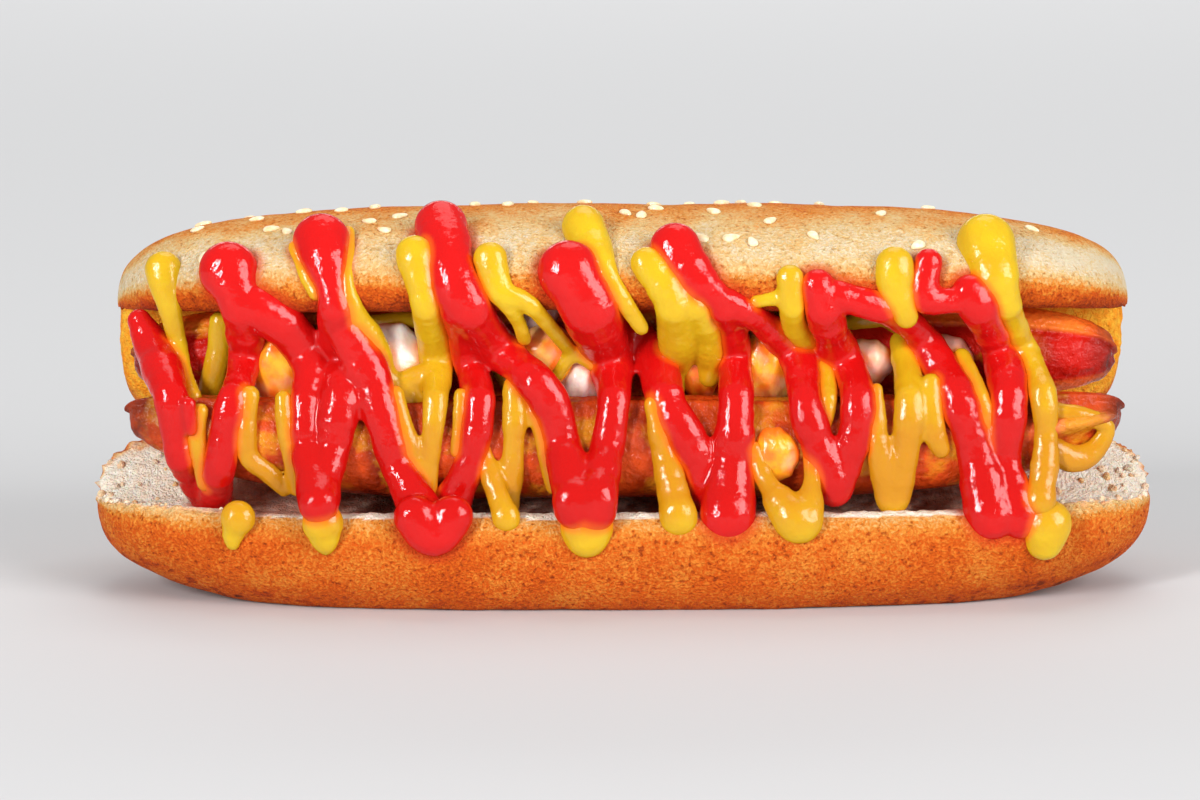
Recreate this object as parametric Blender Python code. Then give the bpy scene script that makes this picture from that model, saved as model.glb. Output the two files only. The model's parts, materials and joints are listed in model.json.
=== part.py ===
"""A hot dog: a sesame bun slit along its front, two sausage halves, onion petals, ketchup and mustard.

It lies along x with its open side to -y and stands on z = 0. It is modelled in millimetres and
turned into metres at the end.
"""

import math
import random

import bmesh
import bpy
import numpy as np
from mathutils import Matrix, Vector, noise
from mathutils.bvhtree import BVHTree

METRES = 0.001
GAP = 0.4
# The exact solver leaves open edges where petals and beads of sauce graze each other.
GRAZING_SOLVER = "MANIFOLD"

# Each outline is a loop of (y, z) points, drawn at the middle of the piece's length.
# Both ends draw in to the pivot; a higher roundness keeps them fuller.
BUN_LENGTH = 208.0
LOWER_HALF = (
    (-19, -4), (0, -4.5), (18, -4), (28, 3), (32, 11), (33, 21), (31, 31), (25, 32),
    (14, 31), (3, 26), (-7, 19.5), (-18, 17), (-28, 19.5), (-32, 17), (-33, 10), (-29, 2),
)
LOWER_PIVOT = (0, 19)
LOWER_ROUNDNESS = 2.8
TOP_LENGTH = 202.0
UPPER_HALF = (
    (-22, 58), (-25, 63), (-22, 69), (-13, 73.5), (1, 75.5), (15, 72.5), (27, 64), (33, 52),
    (34, 38), (31.5, 27), (23, 26), (14, 35), (10.5, 46), (6, 56), (-4, 59.5), (-14, 58.5),
)
UPPER_PIVOT = (22, 52)
UPPER_ROUNDNESS = 3.3
# The crown's ends are fuller below its pivot, up to this roundness at its lowest.
UPPER_LOW_ROUNDNESS = 6.0
HINGE = ((23, 31), (26, 36), (29.5, 37.5), (32, 31), (30, 24), (26, 25))
HINGE_PIVOT = (16, 30)
HINGE_LENGTH = 190.0
HINGE_ROUNDNESS = 3.0

SAUSAGE_LENGTH = 193.0
LOWER_SAUSAGE = (
    (-5, 10), (-9.5, 5), (-10.5, -2), (-7, -8.5), (0, -10.5), (7, -7.5), (10, -1), (8.5, 4), (1, 8.5),
)
LOWER_SAUSAGE_PLACE = (-14.5, 30.5)
LOWER_SAUSAGE_PIVOT = (0, 1)
LOWER_SAUSAGE_ROUNDNESS = 3.0
# Its tips curve up by this much.
LOWER_SAUSAGE_LIFT = 5.5
UPPER_SAUSAGE = (
    (-6, 9.5), (0, 11), (8, 7.5), (11, 0), (8, -7.5), (0, -11), (-6.5, -9), (-10, -3), (-10, 3), (-7.5, 6.5),
)
UPPER_SAUSAGE_PLACE = (-2.5, 47.0)
UPPER_SAUSAGE_PIVOT = (0, -1)
UPPER_SAUSAGE_ROUNDNESS = 3.3

# Onion petals: middle (x, y, z), half sizes (x, y, z) and lean in degrees.
PETALS = (
    ((-67, -13, 46), (6.5, 5, 8), 6),
    ((-46, -13, 46.5), (8, 5, 8.5), -4),
    ((-16.5, -11, 57), (3.5, 4, 6.5), 18),
    ((-15.5, -15, 48), (6.5, 4, 6.5), 30),
    ((-9, -15, 43), (4.5, 4, 5.5), 12),
    ((14, -13, 46), (4.5, 4, 7.5), -8),
    ((27, -13, 44.5), (6, 5, 9), 4),
    ((47, -12, 46), (5, 4, 5), -6),
    ((62, -12, 45.5), (6, 4, 6), 8),
    ((28.5, -24, 30.5), (4.5, 3.5, 5.5), -12),
)

# The sauces are drawn as seen from the front, on the plane of the bun's lip, and laid back on the food.
VIEW_TILT = math.radians(10)
LIP_PLANE = -24.0
# Each leg: where it starts (x, z), then its x at the heights below; None ends or skips a stretch.
LEG_HEIGHTS = (55.0, 48.0, 41.0, 30.0, 20.0)
KETCHUP_THICKNESS = 3.1
KETCHUP_LEGS = (
    ((-94, 56), -94, -91, -89, -87, -81),
    ((-77, 66), -76, -75.5, -76, -78.5, -81),
    ((-74, 60), -64, -61, -63, -61, -59.5),
    ((-59, 72), -57, -55.5, -55, -57, -59),
    ((-58, 58), -57, -52.5, -48, -45, -40),
    ((-33, 61), -31.5, -31, -30, -31.5, -35.5),
    ((-36, 75), -27, -20.5, -16, -12.5, -9),
    ((-12, 67), -5, -3, -3, -5, -7.5),
    ((-5, 57), 2, 6.5, 8, 12, 17.5),
    ((9, 71), 18.5, 20.5, 20.5, 21, 19),
    ((16, 61), 27, 32.5, 34.5, 37, 40),
    ((37, 63), 40.5, 44, 45, 42.5, 40.5),
    ((38, 61), 55.5, 60, 63.5, 68, 71),
    ((66, 62), 70, 72.5, 73.5, 73, 72),
    ((58.5, 67), 57, None, None, None, None),
)
# Blobs: middle (x, z) and radius.
KETCHUP_BLOBS = (
    (-77, 66, 5.4), (-59, 72, 5.1), (-36, 74.5, 4.9), (-12, 66.5, 5.8), (9, 70.5, 5.1),
    (36.5, 62, 3.9), (66.5, 61, 3.6), (-39.5, 17, 4.4), (-35, 17.5, 4.4), (18.5, 18, 5.5),
    (69, 18.5, 5.2), (74, 18.5, 5.2), (-8, 21, 5.0), (-81, 21, 4.2), (-59.5, 21, 4.2),
)
MUSTARD_THICKNESS = 1.9
MUSTARD_LEGS = (
    ((-90, 66), -88, -85.5, -83, -84, -82),
    ((-79, 56), -79.5, -80, -81, None, None),
    ((-72, 43), None, None, -73, -74, -68),
    ((-63, 71), -60, -59, -66, -65, -63),
    ((-53.5, 70), -52.5, -47, -44, -41, -38.5),
    ((-41, 69), -38, -37, -37.5, -38, -38),
    ((-33, 43), None, None, -32, -33, None),
    ((-26, 67), -26, -23, -28, -27, -23),
    ((-25, 60), -15, -11, -21.5, -22, -23),
    ((-18, 41), None, None, -17.5, -15.5, -13),
    ((-7, 72), 2, None, None, None, None),
    ((4, 66), 9.5, 10, 5, 7, 10),
    ((10, 62), 16, 17, 14, None, None),
    ((-3, 30), None, None, None, -2.5, -2),
    ((31, 64), 33, 37, 38.5, None, None),
    ((25, 36), None, None, None, 25.5, 31),
    ((36, 32), None, None, None, 35.5, 33.5),
    ((43, 54), 50, None, None, None, None),
    ((53, 52), None, 54, 54.5, 53, 50),
    ((47, 41), None, None, 47.5, 48, 50),
    ((65, 48), None, 66, 68, 70, None),
)
MUSTARD_BLOBS = (
    (-90, 66, 3.4), (-75.5, 17, 3.3), (-59, 17, 3.9), (-41, 70, 3.4), (-26, 67.5, 3.4), (-24, 18, 2.6),
    (-8, 15, 5.2), (-8, 74, 4.6), (-6, 70, 4.4), (5, 66, 3.4), (10, 18, 3.5), (32.5, 17, 4.3), (31, 63, 3.0),
    (50, 21, 3.2), (9.5, 52, 4.6), (9.5, 56, 4.4), (-45, 50, 5.6), (-41, 47, 5.2), (-47, 45, 4.4),
)
OVER_THICKNESS = 2.9
OVER_LEGS = (
    ((70, 70), 77, 79.5, 81, 80, 79),
    ((51, 67), 53, None, None, None, None),
)
OVER_BLOBS = ((70, 72, 5.4), (70.5, 69, 5.0), (80.5, 14.5, 5.2), (51, 67, 3.9))

SEED_SIZE = (3.3, 2.0, 1.1)
SEED_COUNT = 42
SEED_SPACING = 6.5
# Seeds lie within this x of the middle, between this front y and this back y.
SEED_AREA = (84, -17, 26)
SEED_SPREAD = 7
# Seeds that show at the front of the crown: (x, y).
FRONT_SEEDS = (
    (-82, -12), (-76, -13), (-69, -8), (-66, -10), (-50, -9), (-47, -14), (-44, -7), (0, -7), (3, -8),
    (6, -4), (14, -18), (20, -18), (24, -19), (28, -11), (36, -17), (56, -18), (17, -6), (50, -6),
)

# Faces: sides round each long piece, rings along it, and triangles in each sauce before it is fitted.
AROUND = 22
ALONG = 17
KETCHUP_TRIANGLES = 900
MUSTARD_TRIANGLES = 820
DRIP_TRIANGLES = 190
SAUCE_VOXEL = 0.8
# A body of sauce smaller than this many cubic millimetres is a scrap.
SMALLEST_BODY = 12.0
NOISE_SEED = 3

# Colour and roughness of each kind of piece.
BUN_LOOK = ((0.72, 0.38, 0.13), 0.7)
LOWER_SAUSAGE_LOOK = ((0.5, 0.09, 0.04), 0.35)
UPPER_SAUSAGE_LOOK = ((0.42, 0.03, 0.02), 0.3)
ONION_LOOK = ((0.85, 0.72, 0.6), 0.3)
MUSTARD_LOOK = ((0.9, 0.55, 0.03), 0.25)
KETCHUP_LOOK = ((0.6, 0.01, 0.01), 0.2)


def smooth_loop(points, count):
    """Points spaced evenly on a smooth closed curve through the given ones."""
    points = np.array(points, float)
    steps = np.linspace(0, 1, 12, endpoint=False)[:, None]
    runs = []
    for index in range(len(points)):
        before, start, end, after = (points[(index + k) % len(points)] for k in (-1, 0, 1, 2))
        bend = 2 * before - 5 * start + 4 * end - after
        twist = 3 * start - before - 3 * end + after
        runs.append(start + 0.5 * ((end - before) * steps + bend * steps**2 + twist * steps**3))
    curve = np.vstack(runs + [points[:1]])
    lengths = np.insert(np.cumsum(np.linalg.norm(np.diff(curve, axis=0), axis=1)), 0, 0)
    places = np.linspace(0, lengths[-1], count, endpoint=False)
    return np.column_stack([np.interp(places, lengths, curve[:, axis]) for axis in (0, 1)])


def uneven(point, size, amount):
    """The point moved a little, by a wandering amount that repeats each run."""
    return point + noise.noise_vector(point / size) * amount


def add_object(name, mesh):
    """An object of this mesh, in triangles, so that a fuller twin bends along the same edges."""
    bmesh.ops.triangulate(mesh, faces=mesh.faces)
    mesh.normal_update()
    bmesh.ops.recalc_face_normals(mesh, faces=mesh.faces)
    data = bpy.data.meshes.new(name)
    mesh.to_mesh(data)
    mesh.free()
    piece = bpy.data.objects.new(name, data)
    bpy.context.collection.objects.link(piece)
    return piece


def lofted(name, outline, pivot, length, roundness, place=(0, 0), lift=0.0, wander=0.5, low_roundness=None):
    """A closed piece along x: one outline, drawn in to its pivot at both round ends."""
    loop = smooth_loop(outline, AROUND)
    lowest = min(z for y, z in outline)
    mesh = bmesh.new()
    bmesh.ops.create_uvsphere(mesh, u_segments=AROUND, v_segments=ALONG, radius=1.0)
    for vert in mesh.verts:
        turn = math.atan2(vert.co.y, vert.co.x) / math.tau
        y, z = loop[round(turn * AROUND) % AROUND]
        below = max(0.0, pivot[1] - z) / (pivot[1] - lowest)
        fullness = roundness + below * ((low_roundness or roundness) - roundness)
        cosine = max(-1.0, min(1.0, vert.co.z))
        along = math.copysign(abs(cosine) ** (2 / fullness), cosine)
        drawn_in = math.sqrt(1 - cosine**2) ** (2 / fullness)
        point = Vector((
            along * length / 2,
            place[0] + pivot[0] + (y - pivot[0]) * drawn_in,
            place[1] + pivot[1] + (z - pivot[1]) * drawn_in + lift * along**4,
        ))
        vert.co = uneven(point, 22.0, wander)
        vert.co.z = max(vert.co.z, 0.0)
    return add_object(name, mesh)


def petal(name, middle, half_sizes, lean):
    """One onion petal, a plump rounded piece that leans."""
    mesh = bmesh.new()
    bmesh.ops.create_uvsphere(mesh, u_segments=8, v_segments=6, radius=1.0)
    turn = Matrix.Rotation(math.radians(lean), 4, "Y")
    sizes = Matrix.Diagonal((*half_sizes, 1.0))
    bmesh.ops.transform(mesh, matrix=Matrix.Translation(middle) @ turn @ sizes, verts=mesh.verts)
    for vert in mesh.verts:
        vert.co = uneven(vert.co, 6.0, 0.8)
    return add_object(name, mesh)


def apply_modifiers(piece):
    graph = bpy.context.evaluated_depsgraph_get()
    finished = bpy.data.meshes.new_from_object(piece.evaluated_get(graph))
    piece.modifiers.clear()
    piece.data = finished


def combine(piece, others, operation, solver="EXACT"):
    """One Boolean of the piece with all of the others, which are then removed."""
    helpers = bpy.data.collections.new("helpers")
    bpy.context.scene.collection.children.link(helpers)
    for other in others:
        bpy.context.collection.objects.unlink(other)
        helpers.objects.link(other)
    modifier = piece.modifiers.new("combine", "BOOLEAN")
    modifier.operation = operation
    modifier.solver = solver
    modifier.operand_type = "COLLECTION"
    modifier.collection = helpers
    apply_modifiers(piece)
    for other in others:
        bpy.data.objects.remove(other)
    bpy.data.collections.remove(helpers)


def twin(piece, fuller=0.0):
    """A copy of the piece, fuller all over by the given amount."""
    mesh = bmesh.new()
    mesh.from_mesh(piece.data)
    mesh.normal_update()
    moves = [(vert, vert.normal * fuller) for vert in mesh.verts]
    for vert, move in moves:
        vert.co += move
    return add_object(piece.name + "_twin", mesh)


def nest(piece, forms, solver="EXACT"):
    """Presses the piece round the whole forms of its neighbours, a gap away from them.

    A fuller twin can fold in a deep crease, so the form itself is taken away too.
    """
    for form in forms:
        combine(piece, [twin(form, GAP)], "DIFFERENCE", solver)
        if solver == GRAZING_SOLVER:
            combine(piece, [twin(form)], "DIFFERENCE", solver)


def sight_line(x, z):
    """Where the line of sight through a point of the front view starts, and its direction."""
    direction = Vector((0, math.cos(VIEW_TILT), -math.sin(VIEW_TILT)))
    return Vector((x, LIP_PLANE, z)) - direction * 60, direction


def surface_of(pieces):
    """All the pieces' faces as one searchable surface."""
    verts = []
    faces = []
    for piece in pieces:
        start = len(verts)
        verts += [vert.co.copy() for vert in piece.data.vertices]
        faces += [[start + index for index in face.vertices] for face in piece.data.polygons]
    return BVHTree.FromPolygons(verts, faces)


def leg_route(leg):
    """The leg's turns as (x, z) points, from its start down."""
    route = [leg[0]]
    for height, x in zip(LEG_HEIGHTS, leg[1:]):
        if x is not None and height < route[0][1] - 1:
            route.append((x, height))
    return route


def smooth_route(turns, step=1.3):
    """Points close together on a smooth open curve through the turns."""
    turns = np.array([turns[0], *turns, turns[-1]], float)
    runs = []
    for before, start, end, after in zip(turns, turns[1:], turns[2:], turns[3:]):
        count = max(2, round(np.linalg.norm(end - start) / step))
        steps = np.linspace(0, 1, count, endpoint=False)[:, None]
        bend = 2 * before - 5 * start + 4 * end - after
        twist = 3 * start - before - 3 * end + after
        runs.append(start + 0.5 * ((end - before) * steps + bend * steps**2 + twist * steps**3))
    return np.vstack(runs + [turns[-1:]])


def depths_along(route, surface):
    """How far back each point of the route lies: on the food, but bridging its hollows."""
    reach = 100.0
    found = []
    for x, z in route:
        start, direction = sight_line(x, z)
        distance = surface.ray_cast(start, direction, reach)[3]
        found.append(reach if distance is None else distance)
    found = np.array(found)
    window = 4
    padded = np.pad(found, window, mode="edge")
    nearest = np.array([padded[i:i + 2 * window + 1].min() for i in range(len(found))])
    nearest[nearest >= reach] = nearest.min()
    padded = np.pad(nearest, window, mode="edge")
    return np.array([padded[i:i + 2 * window + 1].mean() for i in range(len(found))])


def bead_height(radius):
    """How far a bead of sauce stands proud of the food."""
    return min(1.4 * radius, 2.0 + 0.4 * radius)


def add_bead(mesh, x, z, depth, radius):
    start, direction = sight_line(x, z)
    middle = start + direction * (depth + radius - bead_height(radius))
    bmesh.ops.create_icosphere(mesh, subdivisions=2, radius=radius, matrix=Matrix.Translation(middle))


def sauce_form(name, legs, blobs, thickness, food, triangles):
    """Beads of sauce laid on the food along the legs and blobs, run together into one skin."""
    surface = surface_of(food)
    mesh = bmesh.new()
    for leg in legs:
        route = smooth_route(leg_route(leg))
        for (x, z), depth in zip(route, depths_along(route, surface)):
            radius = thickness * (1 + 0.18 * noise.noise(Vector((x, z, 0)) / 6))
            add_bead(mesh, x, z, depth, radius)
    for x, z, radius in blobs:
        depth = depths_along([(x, z - 2), (x, z)], surface)[1]
        add_bead(mesh, x, z, depth, radius)
    piece = add_object(name, mesh)
    remesh = piece.modifiers.new("run_together", "REMESH")
    remesh.mode = "VOXEL"
    remesh.voxel_size = SAUCE_VOXEL
    smooth = piece.modifiers.new("settle", "SMOOTH")
    smooth.iterations = 4
    apply_modifiers(piece)
    decimate = piece.modifiers.new("fewer_faces", "DECIMATE")
    decimate.ratio = triangles / (2 * len(piece.data.polygons))
    decimate.use_collapse_triangulate = True
    apply_modifiers(piece)
    return piece


def loose_bodies(mesh):
    """The mesh's faces in sets, one for each body whose faces join along edges."""
    unseen = set(mesh.faces)
    bodies = []
    while unseen:
        fresh = {next(iter(unseen))}
        body = set()
        while fresh:
            body |= fresh
            fresh = {near for face in fresh for edge in face.edges for near in edge.link_faces} - body
        unseen -= body
        bodies.append(body)
    return bodies


def separate_bodies(piece, smallest):
    """Each loose body of the piece as its own object, numbered from left to right; scraps are dropped."""
    mesh = bmesh.new()
    mesh.from_mesh(piece.data)
    bodies = loose_bodies(mesh)
    bodies.sort(key=lambda faces: min(face.calc_center_median().x for face in faces))
    pieces = []
    for body in bodies:
        indices = {face.index for face in body}
        copy = mesh.copy()
        others = [face for face in copy.faces if face.index not in indices]
        bmesh.ops.delete(copy, geom=others, context="FACES")
        if copy.calc_volume() > smallest:
            pieces.append(add_object(f"{piece.name}_{len(pieces) + 1}", copy))
        else:
            copy.free()
    mesh.free()
    bpy.data.objects.remove(piece)
    return pieces


def crown_point(x, y, surface):
    """The crown's skin straight above (x, y), with the direction it faces."""
    return surface.ray_cast(Vector((x, y, 100)), Vector((0, 0, -1)))[:2]


def seed(name, point, facing, turn):
    """One sesame seed, flat side down, narrower at one end, a little sunk in the crust."""
    mesh = bmesh.new()
    bmesh.ops.create_uvsphere(mesh, u_segments=5, v_segments=4, radius=0.5)
    bmesh.ops.rotate(mesh, verts=mesh.verts, matrix=Matrix.Rotation(math.pi / 2, 3, "Y"))
    for vert in mesh.verts:
        vert.co.y *= 1 - 0.55 * vert.co.x
    lie = facing.to_track_quat("Z", "Y").to_matrix().to_4x4() @ Matrix.Rotation(turn, 4, "Z")
    sizes = Matrix.Diagonal((*SEED_SIZE, 1.0))
    place = Matrix.Translation(point + facing * 0.15 * SEED_SIZE[2])
    bmesh.ops.transform(mesh, matrix=place @ lie @ sizes, verts=mesh.verts)
    return add_object(name, mesh)


def seed_places():
    """Hand-placed seeds at the front, then seeds scattered over the crown with space between them."""
    chance = random.Random(SEED_SPREAD)
    places = list(FRONT_SEEDS)
    reach, front, back = SEED_AREA
    while len(places) < SEED_COUNT:
        place = (chance.uniform(-reach, reach), chance.uniform(front, back))
        if min(math.dist(place, other) for other in places) > SEED_SPACING:
            places.append(place)
    return places


def add_seeds(bun, sauces):
    """Fuses sesame seeds to the crown, clear of the sauces."""
    crown = surface_of([bun])
    sauce_skin = surface_of(sauces)
    chance = random.Random(SEED_SPREAD)
    seeds = []
    for x, y in seed_places():
        point, facing = crown_point(x, y, crown)
        turn = chance.uniform(0, math.tau)
        if sauce_skin.find_nearest(point)[3] > SEED_SIZE[0]:
            seeds.append(seed(f"seed_{len(seeds)}", point, facing, turn))
    combine(bun, seeds, "UNION")


def finish(pieces, name, look):
    """Turns the pieces into metres, names them and gives each its own material."""
    colour, roughness = look
    for number, piece in enumerate(pieces, start=1):
        piece.name = name if len(pieces) == 1 else f"{name}_{number}"
        piece.data.transform(Matrix.Scale(METRES, 4))
        piece.data.materials.clear()
        material = bpy.data.materials.new(piece.name)
        material.use_nodes = True
        shader = material.node_tree.nodes["Principled BSDF"]
        shader.inputs["Base Color"].default_value = (*colour, 1.0)
        shader.inputs["Roughness"].default_value = roughness
        piece.data.materials.append(material)
        piece.data.shade_smooth()
        piece.data.set_sharp_from_angle(angle=math.radians(50))


def make_sausages():
    """The sausage halves' whole forms."""
    lower = lofted(
        "lower_form", LOWER_SAUSAGE, LOWER_SAUSAGE_PIVOT, SAUSAGE_LENGTH, LOWER_SAUSAGE_ROUNDNESS,
        LOWER_SAUSAGE_PLACE, LOWER_SAUSAGE_LIFT,
    )
    upper = lofted(
        "upper_form", UPPER_SAUSAGE, UPPER_SAUSAGE_PIVOT, SAUSAGE_LENGTH, UPPER_SAUSAGE_ROUNDNESS,
        UPPER_SAUSAGE_PLACE,
    )
    return [lower, upper]


def make_bun_forms():
    """The bun's lower half, its crown and the hinge between them, each whole."""
    return [
        lofted("lower_half", LOWER_HALF, LOWER_PIVOT, BUN_LENGTH, LOWER_ROUNDNESS),
        lofted("crown", UPPER_HALF, UPPER_PIVOT, TOP_LENGTH, UPPER_ROUNDNESS, low_roundness=UPPER_LOW_ROUNDNESS),
        lofted("hinge", HINGE, HINGE_PIVOT, HINGE_LENGTH, HINGE_ROUNDNESS, wander=0.0),
    ]


def pressed(form, forms, solver="EXACT"):
    """The finished piece: its form, pressed round those of its neighbours."""
    piece = twin(form)
    nest(piece, forms, solver)
    return piece


def make_sauce(name, legs, blobs, thickness, forms, triangles):
    """One sauce as finished pieces, with its form added to the others."""
    form = sauce_form(f"{name}_form", legs, blobs, thickness, forms, triangles)
    whole = pressed(form, forms, GRAZING_SOLVER)
    whole.name = name
    forms.append(form)
    return separate_bodies(whole, SMALLEST_BODY)


def build():
    for leftover in list(bpy.data.objects):
        bpy.data.objects.remove(leftover)
    noise.seed_set(NOISE_SEED)
    sausage_forms = make_sausages()
    bun_forms = make_bun_forms()
    lower_sausage = pressed(sausage_forms[0], [])
    upper_sausage = pressed(sausage_forms[1], sausage_forms[:1])
    bun = twin(bun_forms[0])
    combine(bun, [twin(form) for form in bun_forms[1:]], "UNION")
    nest(bun, sausage_forms)

    forms = sausage_forms + bun_forms
    petals = []
    for middle, half_sizes, lean in PETALS:
        form = petal("petal_form", middle, half_sizes, lean)
        petals.append(pressed(form, forms, GRAZING_SOLVER))
        forms.append(form)
    mustard = make_sauce("mustard", MUSTARD_LEGS, MUSTARD_BLOBS, MUSTARD_THICKNESS, forms, MUSTARD_TRIANGLES)
    ketchup = make_sauce("ketchup", KETCHUP_LEGS, KETCHUP_BLOBS, KETCHUP_THICKNESS, forms, KETCHUP_TRIANGLES)
    drips = make_sauce("drip", OVER_LEGS, OVER_BLOBS, OVER_THICKNESS, forms, DRIP_TRIANGLES)
    for form in forms:
        bpy.data.objects.remove(form)
    add_seeds(bun, mustard + ketchup + drips)

    finish([bun], "bun", BUN_LOOK)
    finish([lower_sausage], "sausage_lower", LOWER_SAUSAGE_LOOK)
    finish([upper_sausage], "sausage_upper", UPPER_SAUSAGE_LOOK)
    finish(petals, "onion", ONION_LOOK)
    finish(mustard, "mustard", MUSTARD_LOOK)
    finish(drips, "mustard_drip", MUSTARD_LOOK)
    finish(ketchup, "ketchup", KETCHUP_LOOK)


build()
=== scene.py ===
import json
import math
import random

import bmesh
import bpy
import numpy as np
from mathutils import Matrix, Vector, noise
from mathutils.bvhtree import BVHTree

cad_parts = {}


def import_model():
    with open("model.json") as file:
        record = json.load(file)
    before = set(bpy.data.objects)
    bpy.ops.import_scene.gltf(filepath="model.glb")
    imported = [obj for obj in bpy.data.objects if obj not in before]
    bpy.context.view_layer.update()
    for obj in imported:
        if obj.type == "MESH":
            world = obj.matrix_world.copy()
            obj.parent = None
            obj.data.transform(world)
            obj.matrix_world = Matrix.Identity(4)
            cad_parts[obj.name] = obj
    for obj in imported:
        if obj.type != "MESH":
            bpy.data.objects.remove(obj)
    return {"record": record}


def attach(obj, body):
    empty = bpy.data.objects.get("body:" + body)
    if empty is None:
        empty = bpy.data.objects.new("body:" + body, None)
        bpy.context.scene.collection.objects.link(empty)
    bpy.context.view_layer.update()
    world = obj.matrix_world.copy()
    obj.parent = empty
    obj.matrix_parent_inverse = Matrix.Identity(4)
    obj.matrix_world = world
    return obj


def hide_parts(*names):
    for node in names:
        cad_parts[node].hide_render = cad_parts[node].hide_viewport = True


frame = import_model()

# The hot dog lies along x with its open side to -y. Pieces are made in millimetres, in the same
# forms as the solids but finer, and are turned into metres once they are finished.
METRES = 0.001
NOISE_SEED = 3

# Each outline is a loop of (y, z) points, drawn at the middle of the piece's length.
# Both ends draw in to the pivot; a higher roundness keeps them fuller.
BUN_LENGTH = 208.0
LOWER_HALF = (
    (-19, -4), (0, -4.5), (18, -4), (28, 3), (32, 11), (33, 21), (31, 31), (25, 32),
    (14, 31), (3, 26), (-7, 19.5), (-18, 17), (-28, 19.5), (-32, 17), (-33, 10), (-29, 2),
)
LOWER_PIVOT = (0, 19)
LOWER_ROUNDNESS = 2.8
TOP_LENGTH = 202.0
UPPER_HALF = (
    (-22, 58), (-25, 63), (-22, 69), (-13, 73.5), (1, 75.5), (15, 72.5), (27, 64), (33, 52),
    (34, 38), (31.5, 27), (23, 26), (14, 35), (10.5, 46), (6, 56), (-4, 59.5), (-14, 58.5),
)
UPPER_PIVOT = (22, 52)
UPPER_ROUNDNESS = 3.3
# The crown's ends are fuller below its pivot, up to this roundness at its lowest.
UPPER_LOW_ROUNDNESS = 6.0
HINGE = ((23, 31), (26, 36), (29.5, 37.5), (32, 31), (30, 24), (26, 25))
HINGE_PIVOT = (16, 30)
HINGE_LENGTH = 190.0
HINGE_ROUNDNESS = 3.0
# The cut faces run between these points of the outlines, counted from the first.
LOWER_CUT = (7.3, 12.75)
UPPER_CUT = (10.2, 15.4)

SAUSAGE_LENGTH = 193.0
LOWER_SAUSAGE = (
    (-5, 10), (-9.5, 5), (-10.5, -2), (-7, -8.5), (0, -10.5), (7, -7.5), (10, -1), (8.5, 4), (1, 8.5),
)
LOWER_SAUSAGE_PLACE = (-14.5, 30.5)
LOWER_SAUSAGE_PIVOT = (0, 1)
LOWER_SAUSAGE_ROUNDNESS = 3.0
# Its tips curve up by this much.
LOWER_SAUSAGE_LIFT = 5.5
UPPER_SAUSAGE = (
    (-6, 9.5), (0, 11), (8, 7.5), (11, 0), (8, -7.5), (0, -11), (-6.5, -9), (-10, -3), (-10, 3),
    (-7.5, 6.5),
)
UPPER_SAUSAGE_PLACE = (-2.5, 47.0)
UPPER_SAUSAGE_PIVOT = (0, -1)
UPPER_SAUSAGE_ROUNDNESS = 3.3
# The grooves, the slit and the cut face lie at these points of the outlines, counted from the first.
LOWER_SAUSAGE_GROOVE = 0.35
LOWER_SAUSAGE_SLIT = 1.5
UPPER_SAUSAGE_GROOVE = 9.25
UPPER_SAUSAGE_FACE = (6.2, 9.2)

# Onion petals: middle (x, y, z), half sizes (x, y, z), lean in degrees and how glazed they are, 0 to 1.
PETALS = (
    ((-67, -13, 46), (6.5, 5, 8), 6, 0.95),
    ((-46, -14, 46.5), (8, 5, 8.5), -4, 0.12),
    ((-16.5, -11, 57), (3.5, 4, 6.5), 18, 0.0),
    ((-15.5, -15, 48), (6.5, 4, 6.5), 30, 0.85),
    ((-9, -15, 43), (4.5, 4, 5.5), 12, 0.1),
    ((14, -13, 46), (4.5, 4, 7.5), -8, 1.0),
    ((27, -13, 44.5), (6, 5, 9), 4, 0.9),
    ((47, -12, 46), (5, 4, 5), -6, 0.55),
    ((62, -12, 45.5), (6, 4, 6), 8, 0.45),
    ((28.5, -24, 30.5), (4.5, 3.5, 5.5), -12, 1.0),
)

# The sauces are drawn as seen from the front, on the plane of the bun's lip, and laid back on the
# food. Lines of sight start this far in front of that plane and are followed this far.
VIEW_TILT = math.radians(10)
LIP_PLANE = -24.0
SIGHT_START = 60.0
SIGHT_REACH = 100.0
# Above this z the sauces lie on the crown, which slopes back from here.
CROWN_FRONT = 61.0
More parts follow.
